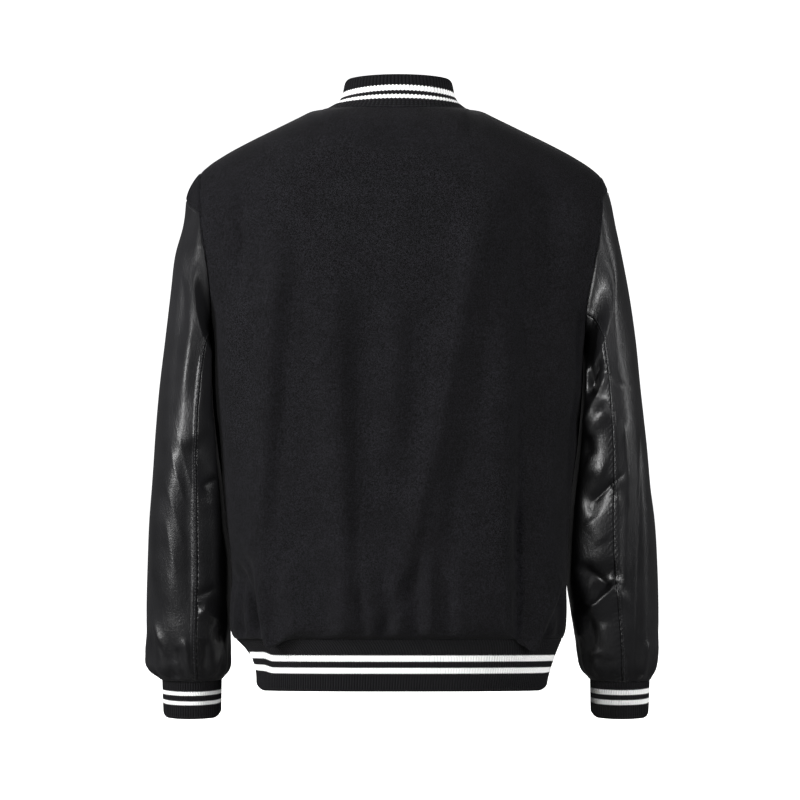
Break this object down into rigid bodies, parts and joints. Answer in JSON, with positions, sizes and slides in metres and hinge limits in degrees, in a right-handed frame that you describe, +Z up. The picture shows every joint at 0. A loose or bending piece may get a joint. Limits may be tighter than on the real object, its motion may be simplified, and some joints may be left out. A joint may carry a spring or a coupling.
{
  "type": "varsity jacket",
  "caption": "Hip-length varsity jacket held open and hollow: wool body lapped and snapped at the front, set-in leather sleeves, striped rib collar, cuffs and hem.",
  "frame": {"origin": "middle of the neck opening, level with the neck seam's highest part, which is where the jacket is held", "axes": "+Z up, -Y the jacket's front, +X the wearer's left"},
  "size_m": [0.605, 0.279, 0.7456],
  "materials": {
    "black_wool": "matt black wool melton with a short nap",
    "black_leather": "glossy black smooth leather with a fine grain",
    "black_rib": "black rib knit with two white stripes on each band",
    "black_snap": "black enamelled snap caps"
  },
  "bodies": {
    "root": {"back": "black_wool", "front_left": "black_wool", "front_right": "black_wool", "sleeve_cap_left": "black_wool", "sleeve_cap_right": "black_wool", "sleeve_left_top": "black_leather", "sleeve_left_under": "black_leather", "sleeve_right_top": "black_leather", "sleeve_right_under": "black_leather", "collar_rib": "black_rib", "cuff_left": "black_rib", "cuff_right": "black_rib", "hem_rib": "black_rib", "snap_1": "black_snap", "snap_2": "black_snap", "snap_3": "black_snap", "snap_4": "black_snap", "snap_5": "black_snap", "snap_6": "black_snap", "snap_7": "black_snap"}
  },
  "joints": []
}
